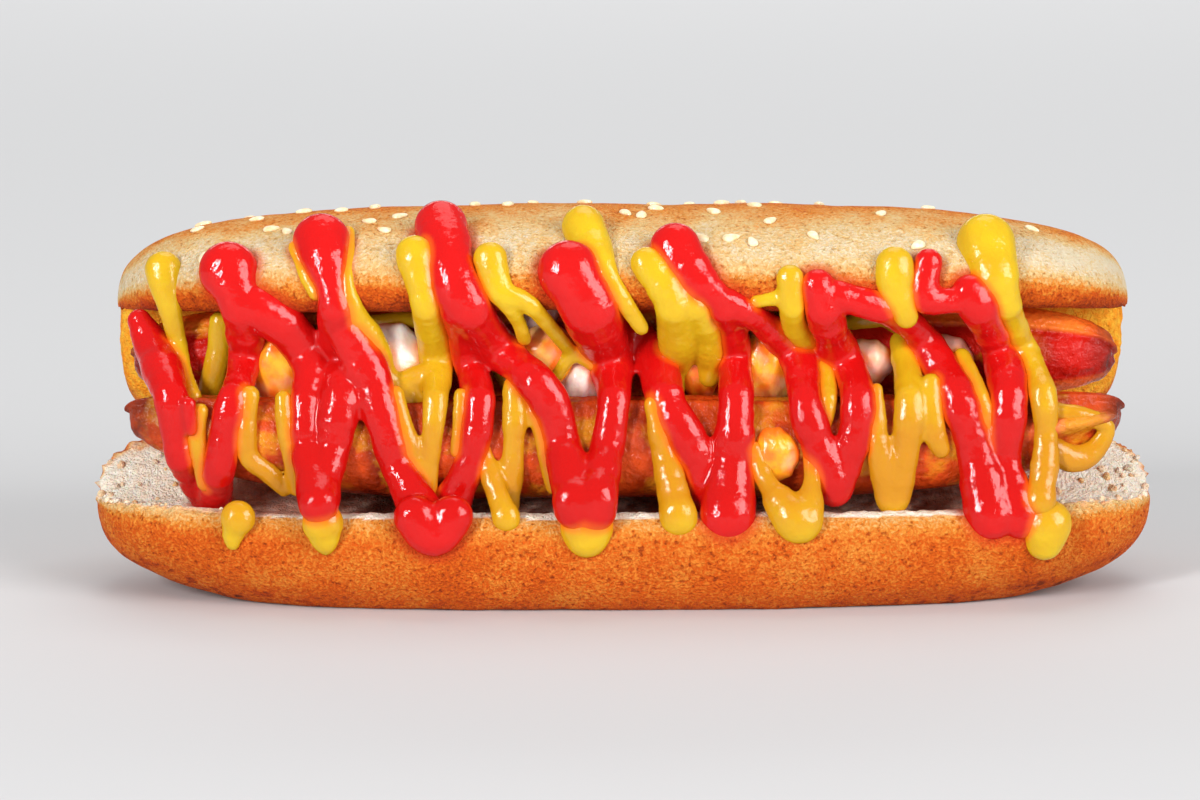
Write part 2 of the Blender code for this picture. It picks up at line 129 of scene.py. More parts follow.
# Each row is one strand from its top down, or one drop: (x, z, half width) where it turns or swells.
KETCHUP = (
    ((-95, 57, 2.2), (-91, 49, 3.7), (-88, 41, 3.0), (-86.5, 30, 2.6), (-81.5, 21, 3.2)),
    ((-84.7, 40.5, 1.2), (-84.2, 35.5, 1.1)),
    ((-77, 66.5, 5.2), (-74, 57, 3.8), (-74.5, 47, 2.8), (-77, 38, 2.8), (-78.5, 30, 2.9),
     (-80.5, 21.5, 3.2)),
    ((-73, 60, 3.6), (-66, 55.5, 3.9), (-61.5, 48, 3.2), (-62.5, 40, 2.5), (-62, 31, 2.8),
     (-59.5, 21, 3.4)),
    ((-59, 72, 5.0), (-57, 63, 2.9), (-55.5, 55, 4.2), (-54.8, 46, 4.4), (-57, 32, 2.9),
     (-59.5, 21, 3.4)),
    ((-54, 54, 3.2), (-50, 46, 3.9), (-46.8, 36, 3.0), (-44.5, 28, 2.9), (-39.5, 18.5, 3.8)),
    ((-33, 61, 3.0), (-31, 49, 2.6), (-28.8, 41, 3.1), (-30.5, 29, 2.6), (-35, 19.5, 3.6)),
    ((-41, 18.3, 3.7), (-37.5, 15, 4.2), (-34, 18.5, 3.6)),
    ((-36, 75, 4.8), (-33, 63, 4.3), (-25.5, 52, 3.5), (-16, 42, 3.5), (-12.5, 31, 3.5),
     (-10.2, 20, 4.0)),
    ((-11.5, 66, 5.6), (-6.5, 57, 5.6), (-3, 46, 3.4), (-3.5, 35, 2.9), (-7, 19.6, 4.0)),
    ((-4.5, 55, 3.4), (4.5, 51, 3.5), (7.5, 40.5, 3.4), (12.5, 31, 3.4), (17, 20.5, 4.0)),
    ((9, 70.5, 4.6), (13, 64.5, 3.6), (17.5, 60, 2.4), (20.5, 52, 3.1), (20.7, 38, 3.3),
     (19, 18.5, 5.0)),
    ((17, 61, 2.2), (26.5, 55.5, 2.8), (33, 49, 3.4), (34.5, 38, 3.1), (39.5, 25, 3.7)),
    ((36.3, 63, 3.1), (38.8, 55, 3.2), (44.2, 43, 3.4), (43, 31, 2.8), (39.8, 23.5, 3.5)),
    ((38.5, 61.5, 2.6), (53.5, 56.5, 2.7), (61, 46.5, 3.3), (66.3, 33.5, 3.3), (70, 18.3, 4.8)),
    ((57.8, 67.5, 2.4), (57, 61, 2.7), (63, 60, 2.2)),
    ((66, 61.5, 3.6), (72, 51.5, 3.3), (73.7, 42, 3.6), (73, 29, 2.9), (75.6, 18.2, 4.2)),
)
MUSTARD = (
    ((-90, 67, 3.2), (-88.5, 58, 1.9), (-86.5, 49, 1.2), (-84, 42, 1.3)),
    ((-79, 56.5, 2.0), (-79.6, 50, 2.3), (-81.2, 43.5, 2.1)),
    ((-82.5, 39, 1.2), (-83.2, 34, 1.6), (-81.8, 25, 1.5)),
    ((-73, 42, 1.8), (-73.5, 31, 1.8), (-69, 26.5, 1.7), (-66.5, 23.5, 1.1)),
    ((-75.2, 18.2, 2.9), (-76.2, 15, 1.9), (-76.3, 13.2, 1.1)),
    ((-66.5, 41.5, 1.3), (-66, 35, 1.5), (-64, 23.5, 1.1)),
    ((-64, 71, 1.2), (-62, 66, 1.4), (-60, 62, 1.2)),
    ((-59.3, 55, 1.2), (-59, 43, 1.2)),
    ((-58.8, 17.2, 3.6), (-58.4, 13.8, 2.3), (-58.3, 12.3, 1.2)),
    ((-54, 74, 1.2), (-53.8, 62, 1.4), (-50, 53, 2.6), (-46.5, 45, 2.6), (-41, 41.5, 2.8),
     (-37, 44, 2.4)),
    ((-41, 69.5, 3.3), (-39, 60, 2.6), (-37, 50, 3.1), (-37.3, 39, 2.0), (-38.8, 24, 1.6)),
    ((-45, 42, 1.8), (-43.5, 36, 1.7), (-39.5, 24, 1.6)),
    ((-50, 56.3, 1.3), (-44, 57.2, 1.2), (-39, 56.5, 1.6)),
    ((-43.5, 44.5, 1.9), (-38, 46.5, 2.0)),
    ((-32.3, 42, 1.0), (-33, 31, 1.1)),
    ((-21.8, 43.5, 2.0), (-22.2, 31, 1.9), (-23.3, 20.5, 2.1)),
    ((-28.3, 33, 1.0), (-26.5, 26, 1.6), (-23.6, 18, 2.4)),
    ((-17.8, 42.5, 1.7), (-16.5, 34, 1.7), (-14.5, 24, 1.3)),
    ((-26.5, 68.5, 2.9), (-24.5, 62, 2.4), (-19, 59.5, 1.5), (-11, 50.5, 1.1)),
    ((-25, 62, 1.6), (-21.5, 57, 1.3), (-20, 53, 1.1)),
    ((-27.5, 53, 1.5), (-23, 44.5, 1.7)),
    ((-8.5, 75, 3.6), (-7, 71, 3.5), (-3.5, 64, 1.9), (2.5, 55, 1.2)),
    ((-13.5, 46, 1.0), (-10.5, 50, 1.2), (-6.8, 48, 1.2)),
    ((-8.2, 16.2, 4.6), (-8.2, 14.4, 3.9)),
    ((3.5, 67.5, 2.8), (8, 61, 3.3), (9.8, 53, 3.6), (9.5, 43.5, 1.6)),
    ((11, 61, 2.6), (15.3, 55, 2.4), (16, 45.5, 1.8)),
    ((4.8, 40, 1.7), (7, 30, 2.4), (9.5, 18, 3.4)),
    ((24, 31, 1.6), (27, 24, 1.9), (32.8, 17, 4.1), (35.2, 24, 1.5), (35, 31, 1.2)),
    ((31, 64.5, 2.5), (32, 56, 2.2), (37, 50, 2.2), (38.6, 42, 1.6), (38, 36, 1.1)),
    ((24.5, 60, 0.9), (30.5, 61, 1.4)),
    ((24.5, 57.3, 0.9), (31, 57.5, 1.5)),
    ((43.5, 56, 1.1), (50.5, 57.5, 2.0), (53, 56, 2.0)),
    ((53.8, 52, 2.2), (54.5, 41, 2.8), (53.3, 29, 2.5), (51, 20.8, 2.5), (48.3, 32, 2.0),
     (48, 43, 0.9)),
    ((58.5, 44, 1.8), (59, 35, 2.1), (60.5, 31, 1.5)),
    ((65, 49, 1.6), (68.5, 39, 1.8), (70.3, 29, 1.0)),
    ((81, 16.3, 4.5), (80.5, 12.8, 3.3)),
    ((81, 38.5, 1.8), (88, 37.3, 1.7), (93, 35.2, 1.2), (90.5, 30.5, 1.9), (86.5, 29, 2.6),
     (82, 31, 2.3)),
)
MUSTARD_ON_TOP = (
    ((69.5, 71.5, 5.4), (70.3, 67, 4.8), (73, 60, 2.7), (79.5, 45, 2.4), (80.8, 32, 2.2),
     (79.5, 21, 2.7)),
    ((51.2, 67, 3.6), (51.5, 62, 3.2), (53.5, 57, 2.0)),
)
# A strand loses this much of its half width as its beads run together.
SETTLED_LOSS = 0.45
# A strand's depth as a share of its width, and how far it stands proud: as a share of its half
# depth, and at most in millimetres.
FLATNESS = 0.66
PROUD = 1.25
MOST_PROUD = 3.8
# A strand's width wanders by these shares, slowly and quickly, over these lengths.
SLOW_WOBBLE = (0.14, 6.0)
QUICK_WOBBLE = (0.08, 2.2)
# Beads with a larger radius than this are made finer.
LARGE_BEAD = 3.0
# A strand's depth is evened out over this many beads each way.
NEIGHBOURS = 5
# No bead of these sauces comes further forward than this y.
MUSTARD_FRONT = -35.3
KETCHUP_FRONT = -36.1

SEED_SIZE = (3.3, 2.0, 1.1)
SEED_SCALES = (0.9, 1.12)
# A seed's middle stands off the crust by this share of its thickness.
SEED_LIFT = 0.2
SEED_COUNT = 58
SEED_SPACING = 6.5
# Seeds lie within this x of the middle, between this front y and this back y.
SEED_AREA = (84, -3, 28)
SEED_SPREAD = 7
# Seeds that show at the front of the crown: (x, y).
FRONT_SEEDS = (
    (-82, -12), (-76, -13), (-69, -8), (-66, -10), (-50, -9), (-47, -14), (-44, -7), (0, -7), (3, -8),
    (6, -4), (14, -18), (20, -18), (24, -19), (28, -11), (36, -17), (56, -18), (17, -6), (50, -6),
)

CRUMB_COUNT = 110
# Crumbs lie on the cut faces beyond this x and below this z. They are this large and this toasted.
CRUMB_FROM = 74
CRUMB_TOP = 25
CRUMB_SIZES = (0.3, 0.85)
CRUMB_TOAST = (0, 0.7)

# How baked each part of the crust is, from 0 for cream to 1 for darkest brown.
TOP_BAKE = 0.34
SIDE_BAKE = 0.15
LIP_BAKE = 0.44
LOWER_BAKE = 0.57
HINGE_BAKE = 0.55
# Painted shade: the dark brown given to the crumb deep in the slit behind the lip, where the lower
# sausage shades it.
RECESS_SHADE_BAKE = 0.92

# Fineness: sides round each long piece, rings along it, and voxel sizes.
AROUND = 120
ALONG = 150
BUN_VOXEL = 0.85
SAUCE_VOXEL = 0.45

# The camera: place in metres, degrees down and to the right, and lens in millimetres.
CAMERA_PLACE = (-0.0262, -0.924, 0.1987)
CAMERA_DOWN = 9.94
CAMERA_RIGHT = 1.32
CAMERA_LENS = 142.3
# The lamps: name, place, target and size in metres, and watts.
LAMPS = (
    ("left_softbox", (-1.4, -1.9, 0.95), (0, 0, 0.04), (0.4, 1.0), 52),
    ("right_softbox", (1.9, -1.8, 1.1), (0, 0, 0.04), (1.6, 1.6), 68),
    ("top_softbox", (0.2, 0.6, 2.4), (0, 0.3, 0.0), (1.6, 1.6), 17),
    ("backdrop_light", (0, 1.9, 1.1), (0, 1.6, 0.0), (2.4, 0.5), 13),
)
SKY_COLOUR = (0.98, 0.99, 1.0, 1)
SKY_STRENGTH = 0.32
FLOOR_COLOUR = (0.615, 0.615, 0.62, 1)
FLOOR_SIZE = 6.0


def curve_between(before, start, end, after, count):
    """Points on a smooth curve from start up to end, bent by the points before and after them."""
    steps = np.linspace(0, 1, count, endpoint=False)[:, None]
    bend = 2 * before - 5 * start + 4 * end - after
    twist = 3 * start - before - 3 * end + after
    return start + 0.5 * ((end - before) * steps + bend * steps**2 + twist * steps**3)


def smooth_loop(points, count):
    """Points spaced evenly on a smooth closed curve, and each one's place among the given points."""
    points = np.array(points, float)
    runs = []
    for index in range(len(points)):
        before, start, end, after = (points[(index + k) % len(points)] for k in (-1, 0, 1, 2))
        runs.append(curve_between(before, start, end, after, 12))
    curve = np.vstack(runs + [points[:1]])
    lengths = np.insert(np.cumsum(np.linalg.norm(np.diff(curve, axis=0), axis=1)), 0, 0)
    places = np.linspace(0, lengths[-1], count, endpoint=False)
    orders = np.linspace(0, len(points), len(curve))
    return np.column_stack([np.interp(places, lengths, values) for values in (*curve.T, orders)])


def uneven(point, size, amount):
    """The point moved a little, by a wandering amount that repeats each run."""
    return point + noise.noise_vector(point / size) * amount


def add_object(name, mesh):
    bmesh.ops.recalc_face_normals(mesh, faces=mesh.faces)
    data = bpy.data.meshes.new(name)
    mesh.to_mesh(data)
    mesh.free()
    piece = bpy.data.objects.new(name, data)
    bpy.context.scene.collection.objects.link(piece)
    return piece


def long_form(name, outline, pivot, length, roundness, place=(0, 0), lift=0.0, wander=0.5,
              low_roundness=None):
    """A closed piece along x, drawn in at both ends, whose points keep their place on the outline."""
    loop = smooth_loop(outline, AROUND)
    lowest = min(z for y, z in outline)
    added_roundness = (low_roundness or roundness) - roundness
    mesh = bmesh.new()
    bmesh.ops.create_uvsphere(mesh, u_segments=AROUND, v_segments=ALONG, radius=1.0)
    layers = [mesh.verts.layers.float.new(key) for key in ("outline_y", "outline_z", "order")]
    for vert in mesh.verts:
        turn = math.atan2(vert.co.y, vert.co.x) / math.tau
        reading = loop[round(turn * AROUND) % AROUND]
        y, z = reading[:2]
        below = max(0.0, pivot[1] - z) / (pivot[1] - lowest)
        fullness = roundness + below * added_roundness
        cosine = max(-1.0, min(1.0, vert.co.z))
        along = math.copysign(abs(cosine) ** (2 / fullness), cosine)
        drawn_in = math.sqrt(1 - cosine**2) ** (2 / fullness)
        point = Vector((
            along * length / 2,
            place[0] + pivot[0] + (y - pivot[0]) * drawn_in,
            place[1] + pivot[1] + (z - pivot[1]) * drawn_in + lift * along**4,
        ))
        vert.co = uneven(point, 22.0, wander)
        vert.co.z = max(vert.co.z, 0.0)
        for layer, value in zip(layers, reading):
            vert[layer] = value
    return add_object(name, mesh)


def apply_modifiers(piece):
    graph = bpy.context.evaluated_depsgraph_get()
    finished = bpy.data.meshes.new_from_object(piece.evaluated_get(graph))
    piece.modifiers.clear()
    piece.data = finished


def joined(name, pieces):
    """One object of all the pieces' faces."""
    mesh = bmesh.new()
    for piece in pieces:
        mesh.from_mesh(piece.data)
    return add_object(name, mesh)


def run_together(piece, voxel, settling):
    """Makes overlapping closed shapes one even skin."""
    remesh = piece.modifiers.new("run_together", "REMESH")
    remesh.mode = "VOXEL"
    remesh.voxel_size = voxel
    smooth = piece.modifiers.new("settle", "SMOOTH")
    smooth.iterations = settling
    apply_modifiers(piece)


def cut_away(piece, others, gap):
    """Takes the others, fuller by the gap, out of the piece."""
    for other in others:
        fuller = bpy.data.objects.new("fuller", other.data.copy())
        bpy.context.scene.collection.objects.link(fuller)
        swell(fuller, gap)
        boolean = piece.modifiers.new("cut_away", "BOOLEAN")
        boolean.operation = "DIFFERENCE"
        boolean.solver = "MANIFOLD"
        boolean.object = fuller
        apply_modifiers(piece)
        bpy.data.objects.remove(fuller)


def points_of(piece):
    """The piece's points and the way that each faces, as arrays."""
    places = np.empty(len(piece.data.vertices) * 3)
    normals = np.empty_like(places)
    piece.data.vertices.foreach_get("co", places)
    piece.data.vertices.foreach_get("normal", normals)
    return places.reshape(-1, 3), normals.reshape(-1, 3)


def swell(piece, heights):
    """Moves each point of the piece out by its own height, or all of them by one height."""
    places, normals = points_of(piece)
    places += normals * np.reshape(heights, (-1, 1))
    piece.data.vertices.foreach_set("co", places.ravel())
    piece.data.update()


def surface_of(pieces):
    """All the pieces' faces as one searchable surface."""
    verts = []
    faces = []
    for piece in pieces:
        start = len(verts)
        verts += [vert.co.copy() for vert in piece.data.vertices]
        faces += [[start + index for index in face.vertices] for face in piece.data.polygons]
    return BVHTree.FromPolygons(verts, faces)


def reading_of(piece, name):
    """An attribute of the piece's points, as an array."""
    values = np.empty(len(piece.data.vertices))
    piece.data.attributes[name].data.foreach_get("value", values)
    return values


def record(piece, name, values):
    """Keeps one value for each point, for the material to read."""
    attribute = piece.data.attributes.new(name, "FLOAT", "POINT")
    attribute.data.foreach_set("value", np.asarray(values, np.float32))


def ramp(values, start, end):
    """0 at start and 1 at end, smooth between."""
    share = np.clip((np.asarray(values, float) - start) / (end - start), 0, 1)
    return share * share * (3 - 2 * share)


def wander_at(places, size, octaves=3, stretch=(1, 1, 1)):
    """Soft noise from about -1 to 1 at each place."""
    scaled = places / (np.array(stretch) * size)
    return np.array([noise.fractal(Vector(place), 1.0, 2.0, octaves) for place in scaled])


def grains_at(places, size):
    """Height of rounded grains of about this size at each place, from 0 to 1."""
    nearest = np.array([noise.voronoi(Vector(place))[0][0] for place in places / size])
    return 1 - np.clip(nearest, 0, 1)


def nearness(places, pieces, reach):
    """1 where a place touches one of the pieces, falling to 0 at reach."""
    surface = surface_of(pieces)
    distances = [surface.find_nearest(Vector(place), reach)[3] for place in places]
    distances = np.array([reach if distance is None else distance for distance in distances])
    return 1 - ramp(distances, 0, reach)


def sight_line(x, z):
    """Where the line of sight through a point of the front view starts, and its direction."""
    direction = Vector((0, math.cos(VIEW_TILT), -math.sin(VIEW_TILT)))
    return Vector((x, LIP_PLANE, z)) - direction * SIGHT_START, direction


def smooth_route(turns):
    """Readings about a millimetre apart on a smooth open curve through the turns."""
    turns = np.array([turns[0], *turns, turns[-1]], float)
    runs = []
    for before, start, end, after in zip(turns, turns[1:], turns[2:], turns[3:]):
        count = max(1, round(np.linalg.norm(end[:2] - start[:2])))
        runs.append(curve_between(before, start, end, after, count))
    return np.vstack(runs + [turns[-1:]])


def among_neighbours(values, choose):
    """What choose makes of each value and its neighbours on both sides."""
    padded = np.pad(values, NEIGHBOURS, mode="edge")
    return np.array([choose(padded[i:i + 2 * NEIGHBOURS + 1]) for i in range(len(values))])


def depths_along(route, surface):
    """How far back the route lies: on the crown's slope, and lower down bridging the food's hollows."""
    found = []
    for x, z in route:
        start, direction = sight_line(x, z)
        distance = surface.ray_cast(start, direction, SIGHT_REACH)[3]
        found.append(SIGHT_REACH if distance is None else distance)
    found = np.array(found)
    hits = np.flatnonzero(found < SIGHT_REACH)
    found = np.interp(np.arange(len(found)), hits, found[hits])
    nearest = among_neighbours(found, np.min)
    return among_neighbours(np.where(route[:, 1] > CROWN_FRONT, found, nearest), np.mean)


def wobble_at(x, z):
    """How much wider or narrower a strand is at this point of the front view, as a share."""
    slow_share, slow_length = SLOW_WOBBLE
    quick_share, quick_length = QUICK_WOBBLE
    slow = slow_share * noise.noise(Vector((x, z, 0)) / slow_length)
    return slow + quick_share * noise.noise(Vector((z, x, 9)) / quick_length)


def strand(turns, surface, front):
    """Flat beads of sauce laid on the food along one strand, none further forward than the front."""
    mesh = bmesh.new()
    flat = Matrix.Diagonal((1, FLATNESS, 1, 1))
    route = smooth_route(turns)
    for (x, z, width), depth in zip(route, depths_along(route[:, :2], surface)):
        radius = (width + SETTLED_LOSS) * (1 + wobble_at(x, z))
        half_depth = FLATNESS * radius
        start, direction = sight_line(x, z)
        middle = start + direction * (depth + half_depth - min(PROUD * half_depth, MOST_PROUD))
        middle.y = max(middle.y, front + half_depth)
        lie = Matrix.Translation(middle) @ Matrix.Rotation(-VIEW_TILT, 4, "X") @ flat
        fineness = 3 if radius > LARGE_BEAD else 2
        bmesh.ops.create_icosphere(mesh, subdivisions=fineness, radius=radius, matrix=lie)
    return add_object("strand", mesh)


def sauce(name, strands, food, front):
    """Sauce poured on the food, its strands run together."""
    surface = surface_of(food)
    laid = [strand(turns, surface, front) for turns in strands]
    piece = joined(name, laid)
    for beads in laid:
        bpy.data.objects.remove(beads)
    run_together(piece, SAUCE_VOXEL, 6)
    return piece


def petal(name, middle, half_sizes, lean):
    """One onion petal: a curled leaf, ribbed from end to end."""
    mesh = bmesh.new()
    bmesh.ops.create_uvsphere(mesh, u_segments=72, v_segments=54, radius=1.0)
    for vert in mesh.verts:
        across = vert.co.x - 0.3 * vert.co.z**2
        ribs = 0.025 * math.sin(9 * across)
        folds = 0.015 * math.sin(4 * vert.co.z + 3 * across)
        vert.co *= 0.98 + ribs + folds
    turn = Matrix.Rotation(math.radians(lean), 4, "Y")
    sizes = Matrix.Diagonal((*half_sizes, 1.0))
    bmesh.ops.transform(mesh, matrix=Matrix.Translation(middle) @ turn @ sizes, verts=mesh.verts)
    for vert in mesh.verts:
        vert.co = uneven(vert.co, 7.0, 0.6)
    return add_object(name, mesh)


def seed_places():
    """Listed seeds at the front, then seeds scattered over the crown with space between them."""
    chance = random.Random(SEED_SPREAD)
    places = list(FRONT_SEEDS)
    reach, front, back = SEED_AREA
    while len(places) < SEED_COUNT:
        place = (chance.uniform(-reach, reach), chance.uniform(front, back))
        if min(math.dist(place, other) for other in places) > SEED_SPACING:
            places.append(place)
    return places


def add_seed(mesh, point, facing, turn, size):
    """One sesame seed, narrower at one end, a little sunk in the crust."""
    made = bmesh.ops.create_uvsphere(mesh, u_segments=14, v_segments=10, radius=0.5)["verts"]
    bmesh.ops.rotate(mesh, verts=made, matrix=Matrix.Rotation(math.pi / 2, 3, "Y"))
    for vert in made:
        vert.co.y *= 1 - 0.85 * vert.co.x
        vert.co.z *= 1 - 0.3 * vert.co.x
    lie = facing.to_track_quat("Z", "Y").to_matrix().to_4x4() @ Matrix.Rotation(turn, 4, "Z")
    sizes = Matrix.Diagonal((*(Vector(SEED_SIZE) * size), 1.0))
    place = Matrix.Translation(point + facing * SEED_LIFT * SEED_SIZE[2])
    bmesh.ops.transform(mesh, matrix=place @ lie @ sizes, verts=made)


def make_seeds(bun, sauces):
    """The sesame seeds, apart from those that would lie under the sauces."""
    crown = surface_of([bun])
    sauce_skin = surface_of(sauces)
    chance = random.Random(SEED_SPREAD)
    mesh = bmesh.new()
    for x, y in seed_places():
        point, facing = crown.ray_cast(Vector((x, y, 100)), Vector((0, 0, -1)))[:2]
        turn = chance.uniform(0, math.tau)
        if sauce_skin.find_nearest(point)[3] > SEED_SIZE[0] / 2:
            add_seed(mesh, point, facing, turn, chance.uniform(*SEED_SCALES))
    return add_object("sesame_seeds", mesh)


def make_bun_forms():
    """The bun's lower half, its crown and the hinge between them, each whole."""
    lower = long_form("lower_half", LOWER_HALF, LOWER_PIVOT, BUN_LENGTH, LOWER_ROUNDNESS)
    crown = long_form(
        "crown", UPPER_HALF, UPPER_PIVOT, TOP_LENGTH, UPPER_ROUNDNESS,
        low_roundness=UPPER_LOW_ROUNDNESS,
    )
    hinge = long_form("hinge", HINGE, HINGE_PIVOT, HINGE_LENGTH, HINGE_ROUNDNESS, wander=0.0)
    return [lower, crown, hinge]


def form_readings(piece, forms):
    """For each point of the piece, the form it came from and its reading on that form's outline."""
    places = points_of(piece)[0]
    surfaces = [surface_of([form]) for form in forms]
    readings = []
    for form in forms:
        keys = [reading_of(form, key) for key in ("outline_y", "outline_z", "order")]
        corners = [list(face.vertices) for face in form.data.polygons]
        readings.append(np.array([[values[face[0]] for values in keys] for face in corners]))
    found = []
    for place in places:
        hits = [surface.find_nearest(Vector(place)) for surface in surfaces]
        which = min(range(len(forms)), key=lambda index: hits[index][3])
        found.append((which, hits[which][3], *readings[which][hits[which][2]]))
    return np.array(found).T


def cut_faces(order, patches):
    """1 on the cut face of the lower half and of the crown, by the place on their outlines."""
    edge = 0.18 + 0.15 * patches
    lower_start = ramp(order, LOWER_CUT[0] - edge, LOWER_CUT[0] + edge)
    lower_end = ramp(order, LOWER_CUT[1] - edge, LOWER_CUT[1] + 0.01)
    upper_start = ramp(order, UPPER_CUT[0], UPPER_CUT[0] + 0.3)
    upper_end = ramp(order, UPPER_CUT[1] - 0.2, UPPER_CUT[1] + 0.1)
    return lower_start * (1 - lower_end), upper_start * (1 - upper_end)


def crown_bake(from_middle, outline_y, outline_z, patches, specks):
    """How baked the crown is: brown on top and at its lip, and cream down its front."""
    top = TOP_BAKE + 0.09 * patches + 0.2 * ramp(-outline_y, 14, -14)
    side = SIDE_BAKE - 0.1 * ramp(from_middle, 50, 95) + 0.1 * patches + 0.06 * specks
    lip = LIP_BAKE + 0.36 * ramp(outline_z, 67, 58) + 0.12 * patches + 0.1 * specks
    down = ramp(outline_z + 1.6 * patches + specks, 69.5, 63.5)
    upward = ramp(outline_z + 1.2 * patches, 72.3, 76.0)
    front_bake = side * (1 - down) * (1 - upward) + lip * down + top * upward
    front = ramp(-outline_y, -12, 4)
    return front_bake * front + top * (1 - front)


def lower_bake(ends, outline_y, outline_z, patches, specks):
    """How baked the lower half is: paler near its lip, most so at the ends, and specked at its foot."""
    near_lip = ramp(outline_z + 1.5 * patches, 12.5, 18.5) * ramp(-outline_y, 5, 25)
    foot = ramp(outline_z, 3.0, -3.0)
    side = LOWER_BAKE + 0.09 * patches - (0.22 + 0.12 * ends) * near_lip
    return side + foot * (0.05 + 0.35 * ramp(specks, 0.15, 0.4))


def make_bun(forms, fillings):
    """The slit bun with its crust and crumb."""
    bun = joined("bun_bread", forms)
    run_together(bun, BUN_VOXEL, 2)
    cut_away(bun, fillings, 0.3)
    which, distance, outline_y, outline_z, order = form_readings(bun, forms)
    on_lower = which == 0
    on_crown = which == 1
    places = points_of(bun)[0]
    from_middle = np.abs(places[:, 0])
    ends = ramp(from_middle, 72, 88)
    patches = wander_at(places, 9.0)
    specks = wander_at(places, 2.2)
    grains = grains_at(places, 1.9)

    # The cut faces, their torn rim at the ends, and painted shade: the crumb deep in the slit behind the
    # lip, under the lower sausage, darkened to brown.
    lower_cut, upper_cut = cut_faces(order, patches)
    crumb = np.where(on_lower, lower_cut, np.where(on_crown, upper_cut, 0.0))
    crumb = np.maximum(crumb, ramp(distance, 0.4, 0.9))
    from_rim = np.minimum(np.abs(order - LOWER_CUT[0]), np.abs(order - LOWER_CUT[1]))
    torn_rim = on_lower * ends * (1 - ramp(from_rim + 0.4 * specks, 0.25, 0.8))
    deep_inside = ramp(places[:, 1], -27.5, -24.5) * (1 - ramp(from_middle, 72, 84))
    # Painted shade: deep in the slit behind the lip, under the lower sausage, the crumb takes a dark
    # brown crust colour through the bake reading.
    painted_recess_shade = lower_cut * deep_inside * on_lower * (0.75 + 0.25 * specks)

    crown_baked = crown_bake(from_middle, outline_y, outline_z, patches, specks)
    lower_baked = lower_bake(ends, outline_y, outline_z, patches, specks)
    bake = np.where(on_lower, lower_baked, np.where(on_crown, crown_baked, HINGE_BAKE))
    record(bun, "crumb", crumb * (1 - painted_recess_shade))
    record(bun, "bake", np.clip(bake + (RECESS_SHADE_BAKE - bake) * painted_recess_shade, 0, 1))
    record(bun, "toast", np.where(on_lower, 0.7 * torn_rim, 1.0))

    crumb_height = crumb * (0.42 * (grains - 0.6) + 0.25 * specks)
    crust_height = (1 - crumb) * 0.18 * patches
    swell(bun, crumb_height + crust_height + 1.1 * torn_rim * (0.5 + specks))
    for vert in bun.data.vertices:
        vert.co.z = max(vert.co.z, 0.0)
    return bun


def make_crumbs(bun):
    """Torn bits of bread on the cut faces at both ends."""
    places, normals = points_of(bun)
    at_ends = (np.abs(places[:, 0]) > CRUMB_FROM) & (places[:, 2] < CRUMB_TOP)
    torn = np.flatnonzero(at_ends & (reading_of(bun, "crumb") > 0.6))
    chance = random.Random(SEED_SPREAD)
    mesh = bmesh.new()
    toasted = []
    for index in chance.sample(list(torn), CRUMB_COUNT):
        size = chance.uniform(*CRUMB_SIZES)
        place = Matrix.Translation(places[index] + normals[index] * 0.3 * size)
        bit = bmesh.ops.create_icosphere(mesh, subdivisions=2, radius=size, matrix=place)["verts"]
        for vert in bit:
            vert.co = uneven(vert.co, 0.9, 0.6 * size)
        toasted += [chance.uniform(*CRUMB_TOAST)] * len(bit)
    crumbs = add_object("bun_crumbs", mesh)
    record(crumbs, "crumb", np.ones(len(toasted)))
    record(crumbs, "toast", toasted)
    return crumbs


def make_sausages():
    """The two halves of the sausage."""
    lower = long_form(
        "sausage_half_lower", LOWER_SAUSAGE, LOWER_SAUSAGE_PIVOT, SAUSAGE_LENGTH,
        LOWER_SAUSAGE_ROUNDNESS, LOWER_SAUSAGE_PLACE, LOWER_SAUSAGE_LIFT,
    )
    upper = long_form(
        "sausage_half_upper", UPPER_SAUSAGE, UPPER_SAUSAGE_PIVOT, SAUSAGE_LENGTH,
        UPPER_SAUSAGE_ROUNDNESS, UPPER_SAUSAGE_PLACE,
    )
    return [lower, upper]


def finish_sausage(piece, groove_at, cut_face=None, slit_at=None):
    """Adds the groove under the skin's rim, a wrinkled cut face, a slit at one end and charred tips."""
    places = points_of(piece)[0]
    order = reading_of(piece, "order")
    face = np.zeros(len(order))
    slit = np.zeros(len(order))
    if cut_face:
        start, end = cut_face
        face = ramp(order, start, start + 0.3) * (1 - ramp(order, end - 0.3, end))
    if slit_at:
        near_end = ramp(places[:, 0], 74, 84) * (1 - ramp(places[:, 0], 92, 96))
        slit = np.exp(-((order - slit_at) / 0.3) ** 2) * near_end
    groove = np.exp(-((order - groove_at) / 0.16) ** 2)
    wrinkles = wander_at(places, 1.6, 3, stretch=(7, 1, 1))
    char = ramp(np.abs(places[:, 0]), 88, 96) * (0.7 + 0.3 * wander_at(places, 2.0))
    shrivelled = 0.5 * char * wander_at(places, 2.5, 2)
    swell(piece, -0.9 * groove + 0.25 * face * wrinkles - 3.0 * slit
          + 0.06 * (1 - face) * wrinkles + shrivelled)
    record(piece, "cut_face", np.clip(face + slit, 0, 1))
    record(piece, "char", np.clip(char, 0, 1))


# Materials, with colours as linear red, green and blue

def put(tree, kind, inputs=None, **settings):
    """A node with its settings, and its inputs set to values or linked to other nodes' outputs."""
    made = tree.nodes.new(kind)
    for key, value in settings.items():
        setattr(made, key, value)
    for key, value in (inputs or {}).items():
        if isinstance(value, bpy.types.NodeSocket):
            tree.links.new(value, made.inputs[key])
        else:
            made.inputs[key].default_value = value
    return made


